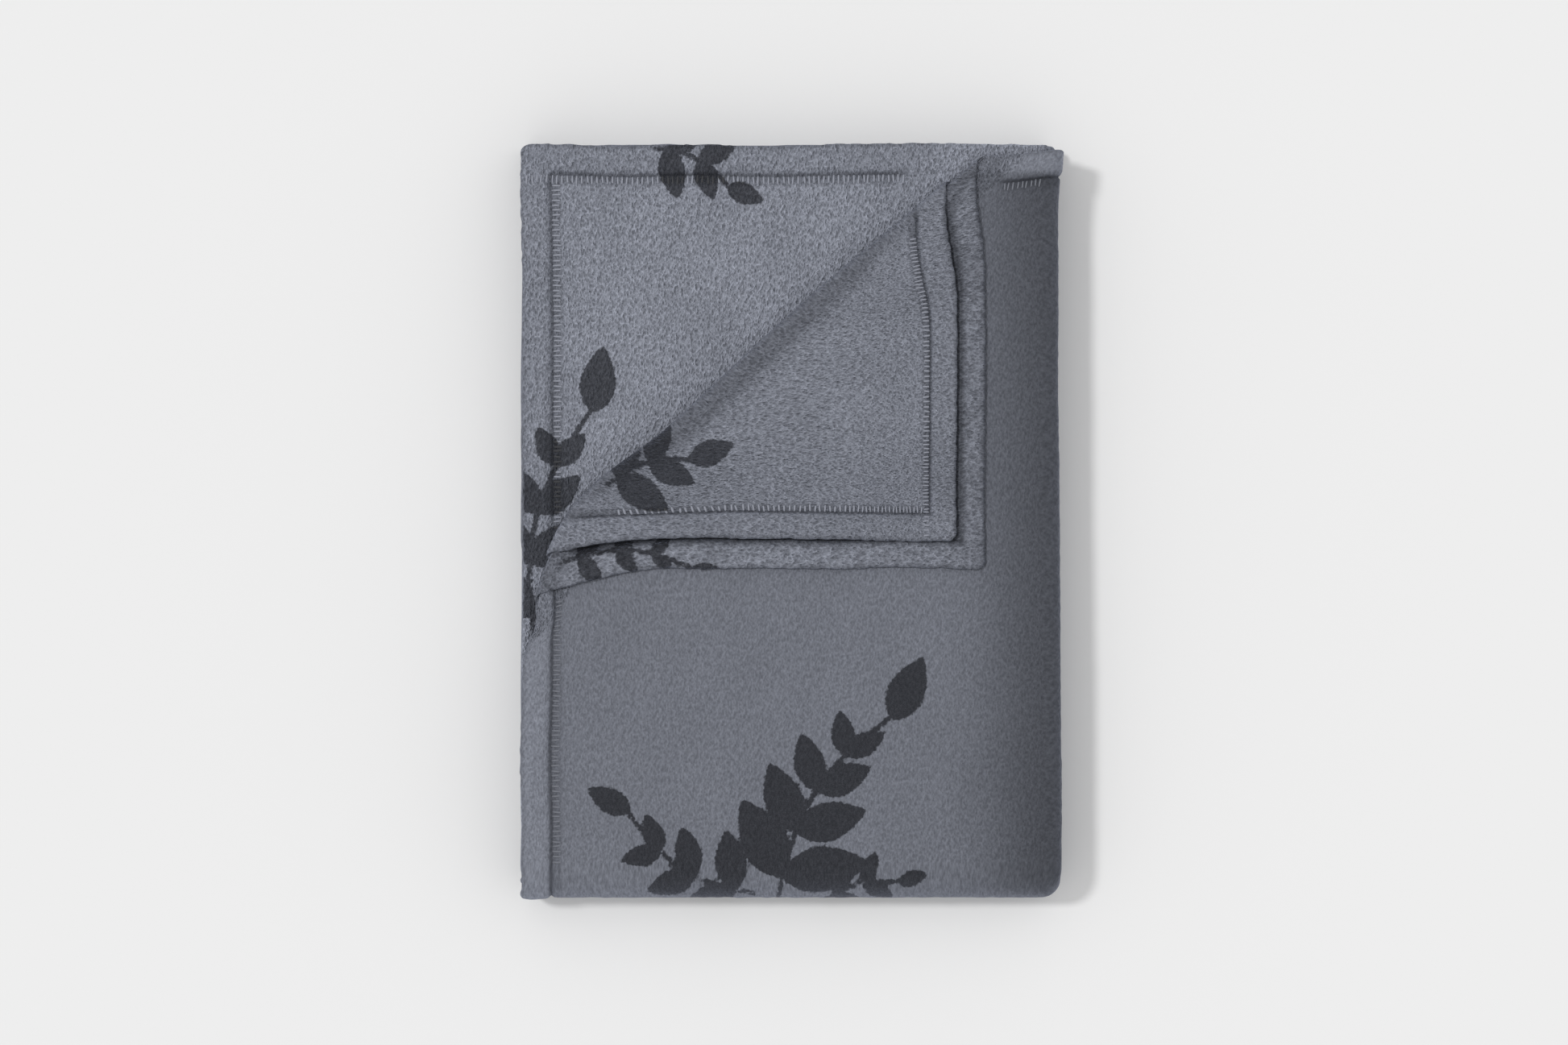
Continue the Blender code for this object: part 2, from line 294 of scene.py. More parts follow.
@dataclass
class Throw:
    """The flat cloth, and how each point of it is carried to its place in the pack."""

    shoulder: float = 0.0055  # how far from its free edge a hem is fully thick
    lump: float = 0.007  # size of the soft lumps along a hem
    tuft: float = 0.0042  # size of the pile's tufts
    wide_tuft: float = 0.0075
    tuft_height: float = 0.00016
    press: float = 0.0009  # how deep the second ply's hem presses into the first
    wander: float = 0.0011  # how far the free edges wander
    fuzz: float = 0.0004  # how far the tufts stand out at the free edges
    sag: float = 0.0005  # how much the plies rise and sink
    right_sag: float = 0.0016  # how much more they sink towards the right bend
    front_sag: float = 0.0008  # how much more they sink towards the front bend

    def __post_init__(self) -> None:
        """Sets up the four folds and the turned corner."""
        self.across = Measure(0, first=Bend(2), last=Bend(4))
        self.along = Measure(1, first=Bend(1), last=Bend(8))
        self.corner = CornerTurn()

    def edge_distance(self, u: Array, v: Array) -> Array:
        """How far the nearest free edge is, across the flat cloth."""
        return np.minimum(self.across.from_edge(u), self.along.from_edge(v))

    def height(self, u: Array, v: Array, ply: Ply, side: int) -> Array:
        """Half the thickness of the cloth, on one side of it.

        Args:
            u: distances from the left free edge.
            v: distances from the back free edge.
            ply: which ply this is.
            side: 1 for the cloth's face, -1 for its back.

        Returns:
            Heights above the middle of the cloth.
        """
        edge = self.edge_distance(u, v)
        rim = np.minimum(edge, EDGE_ROUND) / EDGE_ROUND
        half = PLY / 2 * np.sqrt(np.maximum(1 - (1 - rim) ** 2, 0.0))
        shows = self.showing(u, v, ply, side)
        hem = np.sqrt(1 - (1 - np.clip(edge / self.shoulder, 0, 1)) ** 2)
        hem = hem * smooth((HEM - edge) / 0.005)
        lumps = 1 + 0.35 * clouds(u, v, self.lump, 3)
        clear = self.from_crest(u, v) if ply in (Ply.SECOND, Ply.THIRD) else 1.0
        half = half + HEM_RISE * hem * lumps * shows * rim * clear
        half = half - GROOVE_DEPTH * bell(edge - HEM, GROOVE_WIDTH) * shows
        if ply is Ply.FIRST and side < 0:
            half = half - self.press * bell(edge - CORNER_SETBACK, 0.0022) * shows
        tufts = clouds(u, v, self.tuft, 5) + 0.7 * clouds(u + v, u - v, self.wide_tuft, 7)
        return half + self.tuft_height * tufts * shows * rim

    def beyond_crest(self, u: Array, v: Array) -> Array:
        """How far the top plies lie beyond the start of the corner's bend."""
        x, y = LEFT + self.across.from_edge(u), BACK - self.along.from_edge(v)
        points = np.stack([x.ravel(), y.ravel(), 0 * x.ravel()], 1)
        return self.corner.beyond(points).reshape(x.shape)

    def from_crest(self, u: Array, v: Array) -> Array:
        """0 by the crest of the turned corner, and 1 well away from it."""
        return smooth((self.beyond_crest(u, v) - 0.012) / 0.05)

    def showing(self, u: Array, v: Array, ply: Ply, side: int) -> Array:
        """Where the cloth shows in the finished pack.

        Args:
            u: distances from the left free edge.
            v: distances from the back free edge.
            ply: which ply this is.
            side: 1 for the cloth's face, -1 for its back.

        Returns:
            1 where this side shows, 0 where it is pressed between plies.
        """
        turned = smooth((self.beyond_crest(u, v) - 0.012) / 0.01)
        if ply is Ply.FIRST and side > 0:
            x, y = LEFT + self.across.from_edge(u), BACK - self.along.from_edge(v)
            clear = np.maximum(smooth((x - 0.118) / 0.008), smooth((-0.020 - y) / 0.008))
            under = u - self.across.near_bend - 0.7 * self.across.last.length
            return (1 - turned) * clear * (1 - smooth(under / 0.004))
        if ply is Ply.FIRST:
            return turned * smooth((HEM + 0.003 - self.edge_distance(u, v)) / 0.002)
        return turned if ply is not Ply.INNER and side > 0 else np.zeros_like(turned)

    def place(self, u: Array, v: Array, w: Array, ply: Ply) -> Array:
        """Carries points of the flat cloth to their places in the finished pack.

        Args:
            u: distances from the left free edge.
            v: distances from the back free edge.
            w: heights above the middle of the cloth, on its face.
            ply: which ply the points are in.

        Returns:
            Points in the row frame, one row for each.
        """
        u, v, w = (np.asarray(a, float).ravel() for a in (u, v, w))
        u, v = self.ease(u, v, ply)
        points = np.stack([self.across.place(u), self.along.place(v), w], 1)
        for bend in (self.along.first, self.across.first, self.across.last, self.along.last):
            bend.tuck(points)
        if ply in (Ply.FIRST, Ply.SECOND):
            self.corner.turn(points)
        points[:, 2] += LIFT
        return self.settle(points)

    def ease(self, u: Array, v: Array, ply: Ply) -> tuple[Array, Array]:
        """Rounds the cloth's corners and lets its free edges wander a little.

        Args:
            u: distances from the left free edge.
            v: distances from the back free edge.
            ply: which ply the points are in; the second one's hems are also set back.

        Returns:
            The same two distances, a little further from the free edges.
        """
        eu, ev = self.across.from_edge(u), self.along.from_edge(v)
        way_u = np.where(u < self.across.length / 2, 1.0, -1.0)
        way_v = np.where(v < self.along.length / 2, 1.0, -1.0)
        a, b = (np.clip(1 - e / CORNER_ROUND, 0, 1) for e in (eu, ev))
        reach = np.sqrt(a * a + b * b)
        pull = 1 - np.maximum(a, b) / np.maximum(reach, 1e-9)
        in_u, in_v = a * pull * CORNER_ROUND, b * pull * CORNER_ROUND
        in_u = in_u + self.wander * (1 + clouds(v, 0 * v, 0.045, 11)) * (1 - smooth(eu / 0.05))
        in_v = in_v + self.wander * (1 + clouds(u, 0 * u, 0.045, 13)) * (1 - smooth(ev / 0.05))
        in_u = in_u + self.fuzz * clouds(v, 0 * v, 0.0032, 29) * (1 - smooth(eu / 0.004))
        in_v = in_v + self.fuzz * clouds(u, 0 * u, 0.0032, 31) * (1 - smooth(ev / 0.004))
        if ply is Ply.SECOND:
            front = smooth((self.along.length - v - 0.02 - self.along.near_bend) / -0.06)
            in_u = in_u + CORNER_SETBACK * (1 - smooth(eu / 0.09)) * front
            in_v = in_v + CORNER_SETBACK * (1 - smooth(ev / 0.09))
        return u + way_u * in_u, v + way_v * in_v

    def settle(self, points: Array) -> Array:
        """Softens the whole pack.

        Args:
            points: the folded cloth.

        Returns:
            The same points, with an outline that wanders and a top that sinks at the bends.
        """
        x, y, z = points.T
        # The floor holds the lowest ply flat, so what the plies do grows with their height.
        share = np.clip(z / (LIFT + PLY / 2), 0.0, 1.2)
        sag = self.sag * clouds(x + 1, y + 1, 0.085, 17) + 0.0003 * clouds(x + 1, y + 1, 0.04, 19)
        right = smooth((x - 0.085) / 0.07)
        sag = sag - self.right_sag * right - self.front_sag * smooth((-0.16 - y) / 0.05)
        sag = sag * smooth((np.abs(self.corner.beyond(points)) - self.corner.level) / 0.03)
        # The right side stands askew by a few millimetres, and both sides bulge a little.
        lean = (0.0014 - 0.0033 * (y - FRONT) / (BACK - FRONT)) * smooth(x / RIGHT)
        bulge = 0.0008 * clouds(y + 1, z * 3 + 1, 0.06, 23) * smooth((np.abs(x) - 0.12) / 0.04)
        return np.stack([x + lean + bulge, y, z + share * sag], 1)


@dataclass(frozen=True)
class Sprig:
    """A printed sprig: a bowed stem with pairs of pointed leaves."""

    x: float
    y: float
    angle: float  # the way it grows, in degrees
    length: float = 0.09
    pairs: int = 3
    leaf: float = 0.045
    stem: float = 0.0016  # half the stem's width
    bow: float = 0.12  # how far the stem bows, as a share of its length
    slimness: float = 0.27  # half a leaf's width, as a share of its length

    def field(self, x: Array, y: Array) -> Array:
        """Distance inside the print's outline in metres, negative outside it."""
        turn = math.radians(self.angle)
        along = (x - self.x) * math.cos(turn) + (y - self.y) * math.sin(turn)
        aside = (y - self.y) * math.cos(turn) - (x - self.x) * math.sin(turn)
        bow = self.bow * self.length
        share = np.clip(along / self.length, 0, 1)
        off = aside - bow * np.sin(math.pi * share)
        ends = np.maximum(-along, along - self.length)
        found = self.stem - np.maximum(np.abs(off), ends)
        for i in range(self.pairs):
            start = self.length * (0.12 + 0.80 * i / max(self.pairs, 1))
            lift = bow * math.sin(math.pi * start / self.length)
            size = self.leaf * (1.0 - 0.16 * i)
            for way in (-1, 1):
                lean = way * (0.95 - 0.12 * i + 0.1 * way)
                found = np.maximum(found, self.blade(along - start, aside - lift, lean, size))
        tip = self.blade(along - self.length * 0.96, aside, 0.1, self.leaf * 0.8)
        return np.maximum(found, tip)

    def blade(self, x: Array, y: Array, lean: float, size: float) -> Array:
        """One pointed leaf.

        Args:
            x: distances along the stem from where the leaf grows.
            y: distances aside from there.
            lean: angle between the leaf and the stem, in radians.
            size: the leaf's length.

        Returns:
            Distance inside its outline, negative outside.
        """
        along = (x * math.cos(lean) + y * math.sin(lean)) / size
        aside = y * math.cos(lean) - x * math.sin(lean)
        share = np.clip(along, 0, 1)
        half = self.slimness * size * np.sin(math.pi * share**0.8) ** 0.8
        ends = np.maximum(-along, along - 1) * size
        return np.minimum(half - np.abs(aside), -ends)


@dataclass(frozen=True)
class PrintArea:
    """The sprigs that one stretch of cloth is printed with."""

    sprigs: tuple[Sprig, ...]

    def field(self, x: Array, y: Array) -> Array:
        """Distance inside the nearest outline in metres, negative outside."""
        found = np.full(x.shape, -0.05)
        for sprig in self.sprigs:
            found = np.maximum(found, sprig.field(x, y))
        return found


MAIN_PRINT = PrintArea(
    (
        Sprig(-0.022, -0.222, 146, length=0.092, leaf=0.036),
        Sprig(-0.008, -0.228, 58, length=0.135, pairs=4, leaf=0.052),
        Sprig(0.022, -0.226, 14, length=0.045, pairs=2, leaf=0.024),
    )
)
CORNER_PRINT = PrintArea(
    (
        Sprig(-0.152, -0.075, 76, length=0.150, pairs=4, leaf=0.050),
        Sprig(-0.080, 0.222, -28, length=0.050, pairs=2, leaf=0.030),
    )
)
FLAP_PRINT = PrintArea((Sprig(-0.108, 0.022, 16, length=0.052, pairs=2, leaf=0.036),))
STRIP_PRINT = PrintArea((Sprig(-0.135, -0.024, -4, length=0.080, pairs=3, leaf=0.022),))
NO_PRINT = PrintArea(())


Socket = bpy.types.NodeSocket
Tree = bpy.types.NodeTree
Value = bpy.types.NodeSocket | float | tuple


def add_node(tree: Tree, kind: str, links: dict | None = None, **settings: str) -> bpy.types.Node:
    """Adds one node to a material.

    Args:
        tree: the material's nodes.
        kind: the node's type.
        links: what feeds each of its sockets, or the constant that the socket holds.
        settings: the node's own settings.

    Returns:
        The new node.
    """
    node = tree.nodes.new(kind)
    for name, value in settings.items():
        setattr(node, name, value)
    for socket, value in (links or {}).items():
        if isinstance(value, Socket):
            tree.links.new(value, node.inputs[socket])
        else:
            node.inputs[socket].default_value = value
    return node


def attribute(tree: Tree, name: str, output: str = "Fac") -> Socket:
    """What the mesh says about itself at each vertex."""
    return add_node(tree, "ShaderNodeAttribute", attribute_name=name).outputs[output]


def noise(tree: Tree, place: Socket, size: float, detail: float = 2.0) -> Socket:
    """Soft random values whose blobs are of some real size, in metres."""
    links = {"Vector": place, "Scale": 1 / size, "Detail": detail}
    return add_node(tree, "ShaderNodeTexNoise", links).outputs["Fac"]


def mix(tree: Tree, blend: str, amount: Value, first: Value, second: Value) -> Socket:
    """Mixes two colours and gives the result."""
    links = {0: amount, 6: first, 7: second}
    return add_node(tree, "ShaderNodeMix", links, data_type="RGBA", blend_type=blend).outputs[2]


def ramp(tree: Tree, value: Socket, low: float, high: float, start: float, end: float) -> Socket:
    """Carries values between low and high to values between start and end."""
    links = {"Value": value, "From Min": low, "From Max": high, "To Min": start, "To Max": end}
    return add_node(tree, "ShaderNodeMapRange", links).outputs["Result"]


def sums(tree: Tree, operation: str, first: Socket, second: Socket) -> Socket:
    """Joins two values by a sum or a product."""
    return add_node(tree, "ShaderNodeMath", {0: first, 1: second}, operation=operation).outputs[0]


def new_finish(name: str, constants: dict) -> tuple[Material, Tree, bpy.types.Node]:
    """Starts a material.

    Args:
        name: what it is, and how it was made.
        constants: the values that its shader holds everywhere.

    Returns:
        The material, its nodes and its shader.
    """
    made = bpy.data.materials.new(name)
    made.use_nodes = True
    shader = made.node_tree.nodes["Principled BSDF"]
    for socket, value in constants.items():
        shader.inputs[socket].default_value = value
    return made, made.node_tree, shader


@dataclass(frozen=True)
class Fleece:
    """Flannel fleece: short brushed polyester pile that scatters light and shows each stroke.

    Its face lies either brushed flat or ruffled into nubs.
    """

    name: str
    stroke: float  # length of one tuft's stroke, in metres
    depth: float  # how deep the pile looks, in metres
    contrast: float  # how much paler a tuft is than the gap beside it
    ruffle: float  # how deep the wider nubs are, in metres
    fibre: float = 0.0006  # size of the finest grain, in metres
    drift: float = 0.028  # size of the slow changes of tone, in metres
    ragged: float = 0.0022  # size of the print's ragged edge, in metres
    brushed: float = 52.0  # the way the pile is brushed, in degrees
    colour: str = "#71747D"
    ink: str = "#222327"
    faded_ink: str = "#313236"

    def material(self) -> Material:
        """Builds the fleece, with its print and its pile."""
        constants = {
            "Roughness": 0.95,
            "Specular IOR Level": 0.12,
            "Sheen Weight": 0.25,
            "Sheen Tint": linear("#CDD6F0"),
            "Sheen Roughness": 0.55,
        }
        made, tree, shader = new_finish(self.name, constants)
        flat = attribute(tree, "flat", "Vector")
        strokes, nubs, fibres, drift = self.pile(tree, flat)
        shade = self.shade(tree, strokes, nubs, fibres, drift)
        colour = self.printed(tree, flat, fibres)
        tree.links.new(mix(tree, "MULTIPLY", 1.0, colour, shade), shader.inputs["Base Color"])
        links = {"Height": strokes, "Distance": self.depth, "Strength": 0.9}
        relief = add_node(tree, "ShaderNodeBump", links).outputs["Normal"]
        links = {"Height": nubs, "Distance": self.ruffle, "Normal": relief}
        wide = add_node(tree, "ShaderNodeBump", links).outputs["Normal"]
        tree.links.new(wide, shader.inputs["Normal"])
        return made

    def pile(self, tree: Tree, flat: Socket) -> list[Socket]:
        """The pile's four patterns: brushed strokes, wider nubs, single fibres and slow drift."""
        links = {
            "Vector": flat,
            "Rotation": (0.0, 0.0, math.radians(self.brushed)),
            "Scale": (1.0, 0.62, 1.0),
        }
        lying = add_node(tree, "ShaderNodeMapping", links).outputs["Vector"]
        return [
            noise(tree, lying, self.stroke, 3.0),
            noise(tree, lying, 2.0 * self.stroke),
            noise(tree, flat, self.fibre),
            noise(tree, lying, self.drift, 3.0),
        ]

    def shade(self, tree: Tree, strokes: Socket, nubs: Socket, fibres: Socket, drift: Socket) -> Socket:
        """How pale the pile is from point to point, about 1: the pile's tone with its painted shade and
        highlight, read from the mesh, times its random strokes, nubs, fibres and drift.
        """
        half = self.contrast / 2
        pale = attribute(tree, "nap_and_shade")
        parts = (
            ramp(tree, strokes, 0.33, 0.67, 1 - half, 1 + half),
            ramp(tree, nubs, 0.35, 0.65, 1 - half * 0.7, 1 + half * 0.7),
            ramp(tree, fibres, 0.3, 0.7, 0.93, 1.07),
            ramp(tree, drift, 0.3, 0.7, 1 - half * 0.25, 1 + half * 0.25),
        )
        for part in parts:
            pale = sums(tree, "MULTIPLY", pale, part)
        return pale

    def printed(self, tree: Tree, flat: Socket, fibres: Socket) -> Socket:
        """The dyed colour: plain fleece with charcoal ink inside the print's ragged outlines."""
        edge = ramp(tree, noise(tree, flat, self.ragged), 0.3, 0.7, -0.0007, 0.0007)
        inside = sums(tree, "ADD", attribute(tree, "ink"), edge)
        amount = ramp(tree, inside, *PRINT_EDGE, 0.0, 0.93)
        tone = ramp(tree, fibres, 0.35, 0.65, 0.0, 1.0)
        charcoal = mix(tree, "MIX", tone, linear(self.ink), linear(self.faded_ink))
        return mix(tree, "MIX", amount, linear(self.colour), charcoal)


@dataclass(frozen=True)
class Thread:
    """Spun polyester thread: a little smoother than the pile, so that each stitch stays crisp."""

    name: str = "hem thread, spun polyester"
    strand: float = 0.0005  # size of the twist, in metres
    colour: str = "#7D808A"
    ink: str = "#2A2B2F"

    def material(self) -> Material:
        """Builds the thread, with the fine twist of its strands."""
        made, tree, shader = new_finish(self.name, {"Roughness": 0.7, "Sheen Weight": 0.15})
        inked = ramp(tree, attribute(tree, "ink"), *PRINT_EDGE, 0.0, 1.0)
        dyed = mix(tree, "MIX", inked, linear(self.colour), linear(self.ink))
        shaded = mix(tree, "MULTIPLY", 1.0, dyed, attribute(tree, "nap_and_shade"))
        tree.links.new(shaded, shader.inputs["Base Color"])
        twist = noise(tree, attribute(tree, "flat", "Vector"), self.strand)
        relief = add_node(tree, "ShaderNodeBump", {"Height": twist, "Distance": 0.0002})
        tree.links.new(relief.outputs["Normal"], shader.inputs["Normal"])
        return made


@dataclass(frozen=True)
class PileToneAndShade:
    """The pile's own tone from place to place, with shade and highlight painted onto it, as shares of
    its colour.
    """

    hem: float = 0.26  # painted highlight along the puffed hems of the cloth's face; the next is the same on its back
    back_hem_highlight: float = 0.30
    other_hem: float = -0.08
    groove: float = 0.55  # painted shade in the groove that the stitches pull
    trough_shade: float = 0.20  # painted shade beside the groove; the next is the same on the other plies
    deep_trough_shade: float = 0.32
    right: float = 0.58  # painted shade down the right bend, where the cloth turns away from the light
    # painted shade towards the front bend
    front: float = 0.08
    gap_shadow: float = 0.62  # painted shadow where the second ply's hem lies against the first
    # darker band inside the crest: painted shade where the cloth turns away from the light, and the
    # pile lying smoother there
    crest: float = 0.16
    flap: float = 0.42  # paler on the turned corner's inner face
    third: float = 0.60
    rim: float = 0.38  # painted shade round a free edge, where the cloth rolls over

    def tone_and_shade(self, stretch: "Stretch", side: int, points: Array) -> Array:
        """The pile's tone at each vertex, with its painted shade and highlight.

        Args:
            stretch: the stretch of cloth.
            side: 1 for its face, -1 for its back.
            points: where the vertices of that side are in the pack.

        Returns:
            Factors on the colour, about 1.
        """
        cloth, ply = stretch.throw, stretch.ply
        u, v = np.meshgrid(stretch.u, stretch.v, indexing="ij")
        edge = cloth.edge_distance(u, v).ravel()
        shows = cloth.showing(u, v, ply, side).ravel()
        x, y, z = points.T
        # Painted highlight along the puffed hems of the top ply; the other plies' hems are a little
        # darker.
        first_hem_highlight = self.hem if side > 0 else self.back_hem_highlight
        paler = first_hem_highlight if ply is Ply.FIRST else self.other_hem
        nap_and_shade = 1 + paler * shows * smooth((HEM - edge) / 0.002)
        # Painted shade in the groove and beside it.
        nap_and_shade = nap_and_shade - self.groove * bell(edge - HEM, GROOVE_WIDTH) * shows
        beside = self.trough_shade if ply is Ply.FIRST else self.deep_trough_shade
        beside = beside * smooth((edge - HEM) / 0.001)
        nap_and_shade = nap_and_shade - beside * smooth((HEM + 0.007 - edge) / 0.002) * shows
        # Painted shade down the right bend and towards the front bend of the top ply.
        if ply is Ply.FIRST:
            right = smooth((x - 0.085) / 0.075) * smooth((BACK - 0.014 - y) / 0.008)
            nap_and_shade = nap_and_shade * (1 - self.right * right * smooth((z - 0.02) / 0.02))
            nap_and_shade = nap_and_shade * (1 - self.front * smooth((x - 0.02) / 0.08) * smooth((-0.08 - y) / 0.08))
        # Painted shadow where the second ply's hem lies against the first.
        if ply is Ply.FIRST and side < 0:
            gap_shadow = np.where(cloth.along.from_edge(v).ravel() < edge + 1e-9, 0.0150, CORNER_SETBACK)
            nap_and_shade = nap_and_shade * (1 - self.gap_shadow * bell(edge - gap_shadow, 0.0030) * shows)
        # Darker band inside the crest: painted shade, with the pile lying smoother there.
        if ply in (Ply.FIRST, Ply.SECOND):
            bend = cloth.corner.length
            inside = cloth.beyond_crest(u.ravel(), v.ravel()) - bend
            near = smooth((inside + 0.65 * bend) / 0.002)
            nap_and_shade = nap_and_shade * (1 - self.crest * (near * (1 - smooth((inside - 0.004) / 0.018))))
        if ply is Ply.SECOND:
            nap_and_shade = nap_and_shade * (1 + self.flap * shows)
        if ply is Ply.THIRD:
            nap_and_shade = nap_and_shade * (1 + self.third)
        # Painted shade round the free edges.
        return nap_and_shade * (1 - self.rim * bell(edge, 0.0016) * shows)


@dataclass
class Shape:
    """Triangles on their way to becoming a piece, with what its material needs at each vertex."""

    points: Array
    triangles: Array
    normals: Array  # one for each corner of each triangle
    flat: Array
    # the pile's tone, with its painted shade and highlight
    nap_and_shade: Array
    ink: Array

    @staticmethod
    def joined(shapes: list["Shape"]) -> "Shape":
        """Several shapes as one."""
        starts = np.cumsum([0] + [len(s.points) for s in shapes[:-1]])
        triangles = np.concatenate([s.triangles + n for s, n in zip(shapes, starts)])
        rest = [
            np.concatenate([getattr(s, name) for s in shapes])
            for name in ("points", "normals", "flat", "nap_and_shade", "ink")
        ]
        return Shape(rest[0], triangles, *rest[1:])

    def build(self, name: str, material: Material) -> Object:
        """Makes the piece as an object of the scene."""
        mesh = bpy.data.meshes.new(name)
        count = len(self.triangles)
        mesh.vertices.add(len(self.points))
        mesh.vertices.foreach_set("co", self.points.astype(np.float32).ravel())
        mesh.loops.add(3 * count)
        mesh.loops.foreach_set("vertex_index", self.triangles.astype(np.int32).ravel())
        mesh.polygons.add(count)
        mesh.polygons.foreach_set("loop_start", np.arange(0, 3 * count, 3, dtype=np.int32))
        mesh.update(calc_edges=True)
        mesh.polygons.foreach_set("use_smooth", np.ones(count, bool))
        flat = mesh.attributes.new("flat", "FLOAT_VECTOR", "POINT")
        flat.data.foreach_set("vector", self.flat.astype(np.float32).ravel())
        for label, values in (("nap_and_shade", self.nap_and_shade), ("ink", self.ink)):
            layer = mesh.attributes.new(label, "FLOAT", "POINT")
            layer.data.foreach_set("value", values.astype(np.float32))
        mesh.normals_split_custom_set(self.normals.reshape(-1, 3).tolist())
        mesh.materials.append(material)
        made = bpy.data.objects.new(name, mesh)
        bpy.context.scene.collection.objects.link(made)
        LOG.info("%s: %d triangles", name, count)
        return made


@dataclass
class Stretch:
    """A rectangular stretch of the cloth, drawn as a closed slab with a line at each station."""

    throw: Throw
    ply: Ply
    u: Array
    v: Array
    motifs: PrintArea = NO_PRINT

    def __post_init__(self) -> None:
        """Places every vertex, and works out the normals where neighbours meet."""
        cloth = self.throw
        self.u, real_u = self.with_ghosts(self.u, cloth.across.length)
        self.v, real_v = self.with_ghosts(self.v, cloth.along.length)
        self.solid = np.outer(real_u, real_v)
        u, v = np.meshgrid(self.u, self.v, indexing="ij")
        self.free = cloth.edge_distance(u, v) < 1e-9
        faces = []
        for side in (1, -1):
            height = side * cloth.height(u, v, self.ply, side)
            faces.append(cloth.place(u, v, height, self.ply))
        self.points = np.concatenate(faces)
        self.front = np.arange(u.size).reshape(u.shape)
        self.rear = np.where(self.free, self.front, self.front + u.size)
        self.flat = np.tile(np.stack([u.ravel(), v.ravel(), 0 * u.ravel()], 1), (2, 1))
        self.flat[u.size :, 2] = 0.5  # so that the pile's patterns differ on the cloth's back
        # The pile's tone on each side, with its painted shade and highlight.
        nap_and_shade_sides = [PileToneAndShade().tone_and_shade(self, side, face) for side, face in zip((1, -1), faces)]
        self.nap_and_shade = np.concatenate(nap_and_shade_sides)
        self.ink = np.concatenate([self.motifs.field(f[:, 0], f[:, 1]) for f in faces])
        self.normals = self.vertex_normals()

    @staticmethod
    def with_ghosts(stations: Array, length: float) -> tuple[Array, Array]:
        """Adds a station beyond each end that is not a free edge.

        Args:
            stations: the stations of one direction.
            length: the whole cloth's length in that direction.

        Returns:
            The stations, and which of the cells between them are real ones.
        """
        before = [stations[0] - GHOST] if stations[0] > 1e-9 else []
        after = [stations[-1] + GHOST] if stations[-1] < length - 1e-9 else []
        real = np.ones(len(stations) - 1, bool)
        real = np.concatenate([np.zeros(len(before), bool), real, np.zeros(len(after), bool)])
        return np.concatenate([before, stations, after]), real

    def vertex_normals(self) -> Array:
        """The mean normal at each vertex of the whole stretch."""
        triangles = self.skin(np.ones_like(self.solid))
        a, b, c = (self.points[triangles[:, i]] for i in range(3))
        across = np.cross(b - a, c - a)
        total = np.zeros_like(self.points)
        for i in range(3):
            np.add.at(total, triangles[:, i], across)
        return total / np.maximum(np.linalg.norm(total, axis=1, keepdims=True), 1e-15)

    def skin(self, cells: Array) -> Array:
        """The triangles of both faces of the cells that are picked."""
        found = []
        for index, turned in ((self.front, False), (self.rear, True)):
            a, b = index[:-1, :-1][cells], index[1:, :-1][cells]
            c, d = index[1:, 1:][cells], index[:-1, 1:][cells]
            if turned:
                found += [np.stack([a, b, d], 1), np.stack([b, c, d], 1)]
            else:
                found += [np.stack([a, d, b], 1), np.stack([b, d, c], 1)]
        return np.concatenate(found)

    def walls(self, cells: Array) -> Array:
        """The triangles that close the slab where some cells end inside the cloth."""
        padded = np.pad(cells, 1)
        found = []
        # For each side of a cell: the way to its neighbour, and the two corners that they share.
        sides = (
            (-1, 0, (0, 0), (0, 1)),
            (1, 0, (1, 1), (1, 0)),
            (0, -1, (1, 0), (0, 0)),
            (0, 1, (0, 1), (1, 1)),
        )
        for di, dj, *corners in sides:
            beside = padded[1 + di : padded.shape[0] - 1 + di, 1 + dj : padded.shape[1] - 1 + dj]
            i, j = np.nonzero(cells & ~beside)
            ends = [(i + a, j + b) for a, b in corners]
            open_edge = ~(self.free[ends[0]] & self.free[ends[1]])
            (p, q), (r, s) = ((self.front[e], self.rear[e]) for e in ends)
            p, q, r, s = (x[open_edge] for x in (p, q, r, s))
            found += [np.stack([p, q, s], 1), np.stack([p, s, r], 1)]
        made = np.concatenate(found)
        distinct = (made[:, 0] != made[:, 1]) & (made[:, 1] != made[:, 2])
        return made[distinct & (made[:, 0] != made[:, 2])]

    def piece(self, cells: Array | None = None) -> Shape:
        """Some cells of the stretch as a closed shape; all of them if none are named."""
        cells = self.solid if cells is None else cells & self.solid
        skin, walls = self.skin(cells), self.walls(cells)
        a, b, c = (self.points[walls[:, i]] for i in range(3))
        flat_normals = np.cross(b - a, c - a)
        flat_normals /= np.maximum(np.linalg.norm(flat_normals, axis=1, keepdims=True), 1e-15)
        normals = np.concatenate([self.normals[skin], np.repeat(flat_normals[:, None], 3, 1)])
        triangles = np.concatenate([skin, walls])
        used, index = np.unique(triangles, return_inverse=True)
        triangles = index.reshape(-1, 3)
        layers = [self.flat[used], self.nap_and_shade[used], self.ink[used]]
        return Shape(self.points[used], triangles, normals, *layers)

    def turned_over(self) -> Array:
        """Which vertices lie past the middle of the corner's bend."""
        beyond = self.throw.beyond_crest(self.flat[:, 0], self.flat[:, 1])
        return beyond > self.throw.corner.length / 2

    def cell_beyond(self) -> Array:
        """How far the middle of each cell lies beyond the start of the corner's bend."""
        middles = [(line[:-1] + line[1:]) / 2 for line in (self.u, self.v)]
        return self.throw.beyond_crest(*np.meshgrid(*middles, indexing="ij"))


